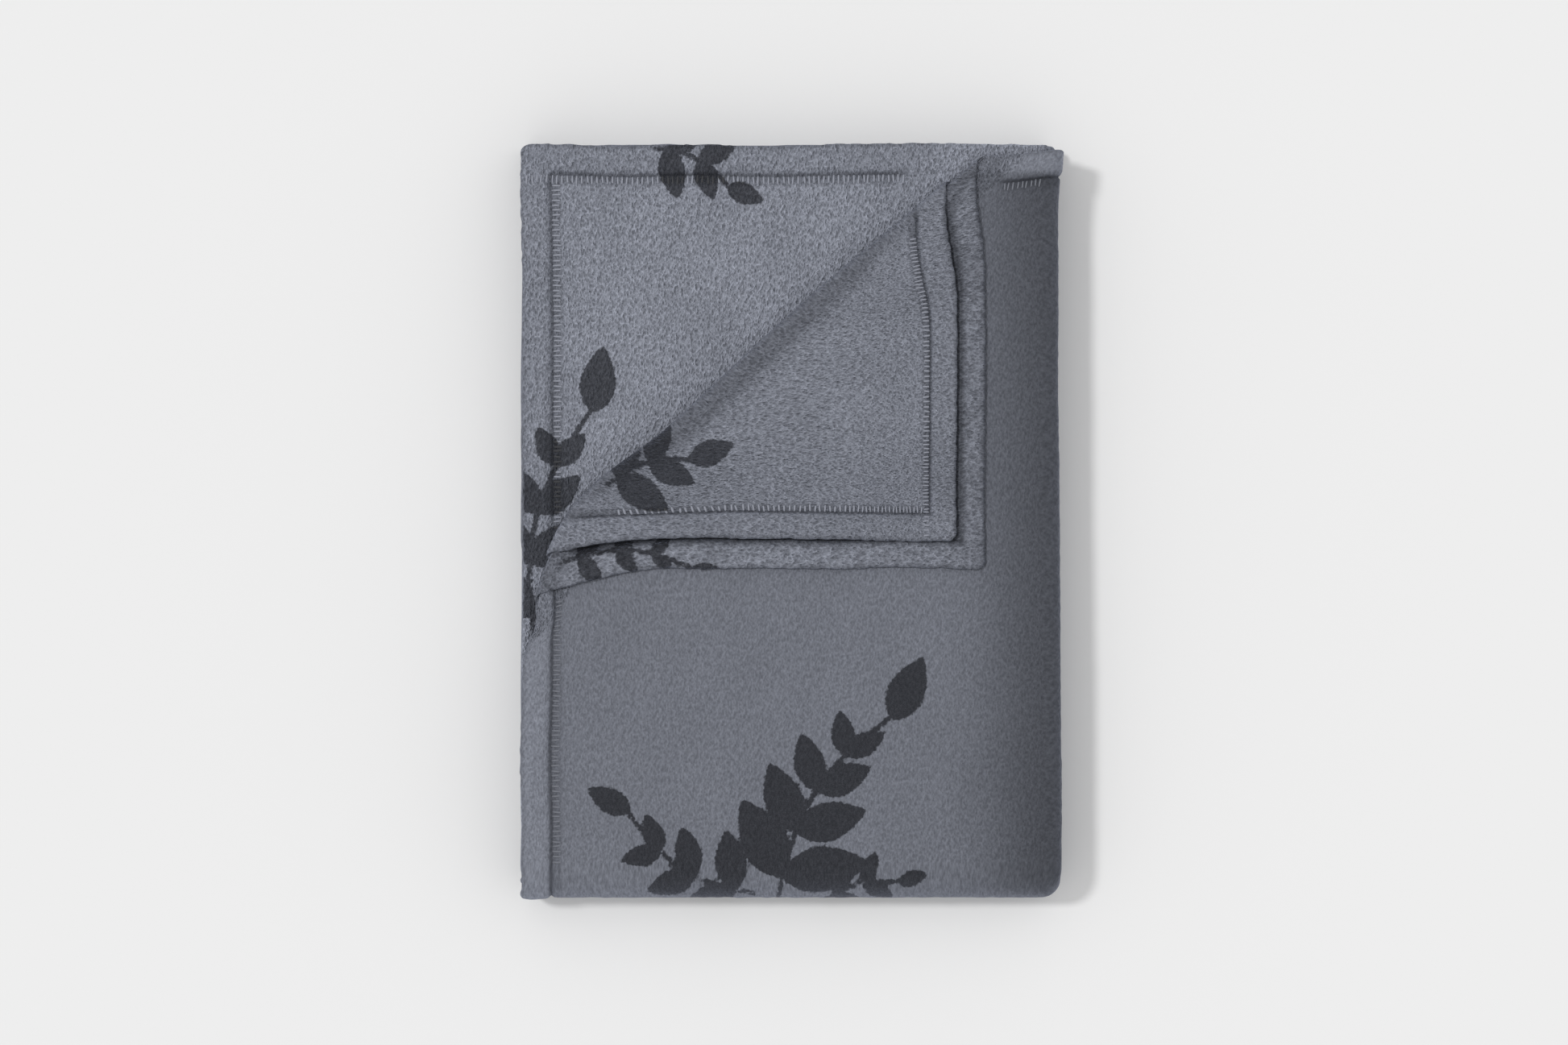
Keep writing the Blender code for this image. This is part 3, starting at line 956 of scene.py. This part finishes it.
def spans(*parts: tuple) -> Array:
    """Stations along the cloth.

    Args:
        parts: each a start, an end and the largest step between them.

    Returns:
        The stations, rising.
    """
    found = [np.linspace(a, b, max(1, math.ceil((b - a) / step - 1e-9)) + 1) for a, b, step in parts]
    together = np.sort(np.concatenate(found))
    return together[np.concatenate([[True], np.diff(together) > 1e-6])]


def hem_stations(step: float) -> Array:
    """Stations from a free edge to just inside its hem: close where it is round or grooved."""
    rounded = EDGE_ROUND * (1 - np.cos(np.linspace(0, math.pi / 2, 5)))
    groove = HEM + np.array([-0.0016, -0.0008, 0.0, 0.0008, 0.0016])
    middle = spans((EDGE_ROUND, HEM - 0.0016, step))
    return np.unique(np.concatenate([rounded, middle, groove]).round(7))


def free_end(reach: float, end: float, step: float = FINE) -> Array:
    """Stations from the free end: fine as far as reach, then plain as far as end."""
    hem = hem_stations(step if reach > HEM else PLAIN / 2)
    start = HEM + 0.0016
    rest = [(start, max(reach, start + step), step)]
    if end > rest[0][1]:
        rest.append((rest[0][1], end, PLAIN))
    return np.concatenate([hem, spans(*rest)[1:]])


def round_bend(start: float, bend: Bend, first: float, last: float) -> Array:
    """Stations round a bend, from one angle to another."""
    return spans((start + bend.radius * first, start + bend.radius * last, bend.radius * 0.2))


@dataclass
class Blanket:
    """Every stretch of the throw, dressed and joined into the pieces that move together."""

    throw: Throw
    brushed: Fleece = Fleece("flannel fleece, brushed flat", 0.0012, 0.0006, 0.34, 0.0008)
    ruffled: Fleece = Fleece("flannel fleece, ruffled pile", 0.0012, 0.0014, 0.58, 0.0020)
    corner_reach: float = 0.300  # the turned corner's cloth is drawn finely this far

    def __post_init__(self) -> None:
        """Works out the stations that the stretches share."""
        self.smooth, self.nubby = self.brushed.material(), self.ruffled.material()
        across, along = self.throw.across, self.throw.along
        near, side = across.near_bend, across.last
        tuck_end = near + side.length + TUCK
        reaches = (near, 0.0, self.corner_reach)
        tucked = [round_bend(near, side, 0, math.pi), [tuck_end]]
        lines = [np.concatenate([free_end(reach, near)[:-1], *tucked]) for reach in reaches]
        self.fine_u, self.plain_u, self.corner_u = lines
        first_end = across.middle_bend + across.first.length
        self.middle_u = spans(
            (tuck_end, across.middle_bend, PLAIN),
            (across.middle_bend, first_end, 0.0012),
            (first_end, across.length - tuck_end, PLAIN),
        )
        front, bend = along.near_bend, along.last
        seam = bend.radius * SEAM_ANGLE
        to_seam = round_bend(front, bend, 0, SEAM_ANGLE)
        reaches = (front, 0.0, self.corner_reach)
        lines = [np.concatenate([free_end(reach, front)[:-1], to_seam]) for reach in reaches]
        self.fine_v, self.plain_v, self.corner_v = lines
        self.bend_v = round_bend(front, bend, SEAM_ANGLE, math.pi - SEAM_ANGLE)
        lower = front + bend.length - seam
        self.lower_v = spans(
            (lower, front + bend.length, 0.002),
            (front + bend.length, along.middle_bend, PLAIN),
            (along.middle_bend, along.middle_bend + along.first.length, 0.0006),
            (along.middle_bend + along.first.length, along.length - front - bend.length, PLAIN),
            (along.length - front - bend.length, along.length - lower, 0.002),
        )

    def flip_u(self, stations: Array) -> Array:
        """The same stations from the cloth's other side edge."""
        return self.throw.across.length - stations[::-1]

    def flip_v(self, stations: Array) -> Array:
        """The same stations from the cloth's other end."""
        return self.throw.along.length - stations[::-1]

    def stretch(self, ply: Ply, u: Array, v: Array, motifs: PrintArea = NO_PRINT) -> Stretch:
        """One stretch of this throw."""
        return Stretch(self.throw, ply, u, v, motifs)

    def build(self) -> list[Object]:
        """Builds every piece of cloth, and gives them in the order of their making."""
        pieces = [self.lower_plies(), self.upper_plies(), self.third_ply(), self.front_bend()]
        return pieces + self.corner_pieces()

    def rigid(
        self, name: str, shape: Shape, finish: Material, body: str, nodes: list[str]
    ) -> Object:
        """Builds a piece that moves with one body.

        Args:
            name: the piece's name.
            shape: its cloth.
            finish: its material.
            body: the body that it rides on.
            nodes: the CAD nodes that it stands for.

        Returns:
            The piece.
        """
        made = shape.build(name, finish)
        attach(made, body)
        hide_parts(*nodes)
        return made

    def lower_plies(self) -> Object:
        """The eight plies of the lower half."""
        columns = (self.plain_u, self.middle_u, self.flip_u(self.plain_u))
        parts = [self.stretch(Ply.INNER, u, self.lower_v).piece() for u in columns]
        nodes = [f"leaf_{n:02d}" for n in range(9, 17)]
        return self.rigid("lower_plies", Shape.joined(parts), self.smooth, "lower_half", nodes)

    def upper_plies(self) -> Object:
        """The plies of the upper half below the third."""
        far_v = self.flip_v(self.plain_v)
        columns = (self.middle_u, self.flip_u(self.plain_u), self.middle_u)
        lines = zip(columns, (self.plain_v, self.plain_v, far_v))
        parts = [self.stretch(Ply.INNER, u, v).piece() for u, v in lines]
        nodes = [f"leaf_{n:02d}" for n in range(4, 9)]
        return self.rigid("upper_plies", Shape.joined(parts), self.smooth, "upper_half", nodes)

    def third_ply(self) -> Object:
        """The ply whose back left corner lies open to view."""
        u, v = self.flip_u(self.corner_u), self.flip_v(self.corner_v)
        shape = self.stretch(Ply.THIRD, u, v, CORNER_PRINT).piece()
        return self.rigid("third_ply", shape, self.nubby, "upper_half", ["leaf_03"])

    def front_bend(self) -> Object:
        """All eight plies where they wrap round the front."""
        near, far = self.bend_v, self.flip_v(self.bend_v)
        parts = [self.stretch(Ply.FIRST, self.fine_u, near, MAIN_PRINT).piece()]
        for u in (self.middle_u, self.flip_u(self.plain_u)):
            parts.append(self.stretch(Ply.INNER, u, near).piece())
        parts.append(self.stretch(Ply.SECOND, self.corner_u, far).piece())
        parts.append(self.stretch(Ply.INNER, self.middle_u, far).piece())
        parts.append(self.stretch(Ply.THIRD, self.flip_u(self.corner_u), far).piece())
        made = Shape.joined(parts).build("front_bend", self.smooth)
        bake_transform(made)
        return made

    def corner_pieces(self) -> list[Object]:
        """The two top plies, each cut where it rises to the crest of the turned corner."""
        first = self.stretch(Ply.FIRST, self.fine_u, self.fine_v, MAIN_PRINT)
        second = self.stretch(Ply.SECOND, self.corner_u, self.flip_v(self.corner_v), FLAP_PRINT)
        stays, turned, rolls = [], [], []
        for ply in (first, second):
            beyond = ply.cell_beyond()
            over = beyond > self.throw.corner.length + CREST_ROOM
            under = beyond < -CREST_ROOM
            if ply is first:
                strip = STRIP_PRINT.field(ply.points[:, 0], ply.points[:, 1])
                ply.ink = np.where(ply.turned_over(), strip, ply.ink)
            stays.append(ply.piece(under))
            turned.append(ply.piece(over))
            rolls.append(ply.piece(~over & ~under))
        crest = Shape.joined(rolls).build("crest", self.nubby)
        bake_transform(crest)
        upper, corner = "upper_half", "turned_corner"
        rows = (
            ("top_ply", stays[0], self.smooth, upper, "leaf_01"),
            ("second_ply", stays[1], self.smooth, upper, "leaf_02"),
            ("turned_lower_ply", turned[0], self.nubby, corner, "turned_corner_lower_ply"),
            ("turned_upper_ply", turned[1], self.nubby, corner, "turned_corner_upper_ply"),
        )
        return [crest, *[self.rigid(*row, [node]) for *row, node in rows]]


class Edge(Enum):
    """Which free edge of its ply a row of stitching follows."""

    SIDE = "side"
    END = "end"


@dataclass
class StitchRow:
    """One row of hem stitching: short rungs that reach from the groove into the cloth."""

    name: str
    node: str  # the CAD node that it stands for
    ply: Ply
    edge: Edge
    start: float  # distance along the row from the cloth's corner
    end: float
    body: str
    motifs: PrintArea = NO_PRINT
    pitch: float = 0.003
    rung: float = 0.0056  # how far a stitch reaches into the cloth
    thickness: float = 0.0006
    stray: float = 0.0003  # how far a stitch strays from its place
    slant: float = 0.0006  # how far its end strays along the row

    def shape(self, throw: Throw, seed: int) -> Shape:
        """The rungs of the row, carried with the cloth that they hold.

        Args:
            throw: the cloth that they are sewn in.
            seed: picks their small differences.

        Returns:
            The rungs as one shape.
        """
        random = np.random.default_rng(seed)
        places = np.arange(self.start, self.end, self.pitch)
        count = len(places)
        places = places + random.uniform(-self.stray, self.stray, count)
        length = self.rung * random.uniform(0.85, 1.1, count)
        begin = HEM + 0.0004 + random.uniform(-self.stray, self.stray, count)
        slant = random.uniform(-self.slant, self.slant, count)
        # A stitch comes out of the cloth, lies on it and goes in again.
        share = np.array([0.0, 0.1, 0.3, 0.5, 0.7, 0.9, 1.0])
        girth = np.array([0.25, 0.85, 1.0, 1.0, 1.0, 0.85, 0.25])
        rise = np.array([-0.0005, 0.0, 0.0003, 0.0004, 0.0003, 0.0, -0.0005])
        turn = np.arange(6) * math.pi / 3
        inward = begin[:, None, None] + length[:, None, None] * share[None, :, None]
        aside = places[:, None, None] + slant[:, None, None] * share[None, :, None]
        aside = aside + self.thickness * girth[None, :, None] * np.cos(turn)
        inward = inward + 0 * aside
        up = rise[None, :, None] + self.thickness * girth[None, :, None] * np.sin(turn) * 0.8
        up = up + 0 * aside
        u, v = (inward, aside) if self.edge is Edge.SIDE else (aside, inward)
        if self.ply is Ply.THIRD:
            u = throw.across.length - u
        if self.ply is not Ply.FIRST:
            v = throw.along.length - v
        points = throw.place(u, v, throw.height(u, v, self.ply, 1) + up, self.ply)
        index = np.arange(u.size).reshape(u.shape)
        triangles = self.facing_out(points, self.tube(index))
        normals = self.round_normals(points, index)[triangles]
        flat = np.stack([u.ravel(), v.ravel(), up.ravel()], 1)
        ink = self.motifs.field(points[:, 0], points[:, 1])
        nap_and_shade = np.full(len(points), 0.85 if self.ply is Ply.FIRST else 1.45)
        return Shape(points, triangles, normals, flat, nap_and_shade, ink)

    @staticmethod
    def tube(index: Array) -> Array:
        """The triangles of every rung: its round side and its two ends."""
        nxt = np.roll(index, -1, axis=2)
        a, b = index[:, :-1], nxt[:, :-1]
        c, d = nxt[:, 1:], index[:, 1:]
        found = [np.stack([a, b, c], -1).reshape(-1, 3), np.stack([a, c, d], -1).reshape(-1, 3)]
        for ring, order in ((index[:, 0], (0, 2, 1)), (index[:, -1], (0, 1, 2))):
            for i in range(1, 5):
                fan = np.stack([ring[:, 0], ring[:, i], ring[:, i + 1]], 1)
                found.append(fan[:, order])
        return np.concatenate(found)

    @staticmethod
    def facing_out(points: Array, triangles: Array) -> Array:
        """The same triangles with their fronts outwards."""
        a, b, c = (points[triangles[:, i]] for i in range(3))
        volume = np.sum(np.cross(a, b) * c)
        return triangles if volume > 0 else triangles[:, ::-1]

    @staticmethod
    def round_normals(points: Array, index: Array) -> Array:
        """Normals that point straight out from the middle of each rung."""
        middle = points[index].mean(axis=2, keepdims=True)
        out = points[index] - middle
        out /= np.maximum(np.linalg.norm(out, axis=-1, keepdims=True), 1e-12)
        normals = np.zeros_like(points)
        normals[index] = out
        return normals


@dataclass
class Stitching:
    """The rows of hem stitching that show."""

    throw: Throw
    thread: Thread = Thread()

    def __post_init__(self) -> None:
        """Lists the rows, each as far as the crest or the bend that ends it."""
        reach = CORNER_TURN - HEM - 0.016
        top_start, strip_start = 0.272, 0.285
        right_reach, front_reach = 0.214, 0.204
        bend_u, bend_v = self.throw.across.near_bend, self.throw.along.near_bend
        side, end, upper, turned = Edge.SIDE, Edge.END, "upper_half", "turned_corner"
        rows = (
            ("third_back", "exposed_back", Ply.THIRD, end, 0.004, reach, upper, CORNER_PRINT),
            ("third_left", "exposed_left", Ply.THIRD, side, 0.025, reach, upper, CORNER_PRINT),
            ("top_left", "top_left", Ply.FIRST, side, top_start, bend_v, upper, MAIN_PRINT),
            ("top_back", "top_back", Ply.FIRST, end, strip_start, bend_u, upper, NO_PRINT),
            ("turned_right", "turned_right", Ply.SECOND, end, 0.004, right_reach, turned, NO_PRINT),
            ("turned_front", "turned_front", Ply.SECOND, side, 0.025, front_reach, turned, FLAP_PRINT),
        )
        self.rows = [
            StitchRow(f"{name}_stitches", f"{node}_stitching", *sizes) for name, node, *sizes in rows
        ]

    def build(self) -> list[Object]:
        """Builds each row as its own piece."""
        thread = self.thread.material()
        made = []
        for number, row in enumerate(self.rows):
            piece = row.shape(self.throw, 40 + number).build(row.name, thread)
            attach(piece, row.body)
            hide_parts(row.node)
            made.append(piece)
        return made


@dataclass(frozen=True)
class Studio:
    """A pale floor, a soft key light from the left and a bright even surround."""

    floor_colour: str = "#F2F2F2"
    floor_size: float = 6.0
    key_strength: float = 1.06
    surround: float = 0.69
    key_angle: float = 8.0  # how wide the key looks, in degrees; it sets how soft the shadow is
    key_tilt: float = -35.5
    key_turn: float = -21.8
    camera_height: float = 2.589  # above the top of the pack
    camera_x: float = -0.0038
    camera_y: float = -0.0007
    lens: float = 100.0  # in mm, on a sensor 36 mm wide

    def build(self) -> None:
        """Builds the floor, the light, the surround and the camera."""
        self.floor()
        self.light()
        self.camera()

    def floor(self) -> None:
        """A plain pale floor under the pack."""
        half = self.floor_size / 2
        mesh = bpy.data.meshes.new("floor")
        corners = [(-half, -half, 0), (half, -half, 0), (half, half, 0), (-half, half, 0)]
        mesh.from_pydata(corners, [], [(0, 1, 2, 3)])
        made = bpy.data.objects.new("floor", mesh)
        bpy.context.scene.collection.objects.link(made)
        constants = {
            "Base Color": linear(self.floor_colour),
            "Roughness": 0.9,
            "Specular IOR Level": 0.0,
        }
        finish = new_finish("floor, matt white", constants)[0]
        mesh.materials.append(finish)

    def light(self) -> None:
        """A key light whose shadow has soft edges, and even light from all round."""
        lamp = bpy.data.lights.new("key", "SUN")
        lamp.energy = self.key_strength
        lamp.angle = math.radians(self.key_angle)
        made = bpy.data.objects.new("key", lamp)
        bpy.context.scene.collection.objects.link(made)
        made.rotation_euler = (0.0, math.radians(self.key_tilt), math.radians(self.key_turn))
        world = bpy.data.worlds.new("surround")
        world.use_nodes = True
        background = world.node_tree.nodes["Background"]
        background.inputs["Color"].default_value = (1.0, 1.0, 1.0, 1.0)
        background.inputs["Strength"].default_value = self.surround
        bpy.context.scene.world = world
        # Colours come out as they were picked, without a film look.
        bpy.context.scene.view_settings.view_transform = "Standard"

    def camera(self) -> None:
        """A long lens that looks straight down on the pack."""
        lens = bpy.data.cameras.new("camera")
        lens.lens = self.lens
        lens.sensor_width = 36.0
        lens.clip_end = 50.0
        made = bpy.data.objects.new("camera", lens)
        bpy.context.scene.collection.objects.link(made)
        made.location = (self.camera_x, self.camera_y, LIFT + PLY / 2 + self.camera_height)
        bpy.context.scene.camera = made


def main() -> None:
    """Builds the throw and the studio."""
    logging.basicConfig(level=logging.INFO, format="%(name)s: %(message)s")
    throw = Throw()
    cloth = Blanket(throw).build()
    threads = Stitching(throw).build()
    Studio().build()


if __name__ == "__main__":
    main()
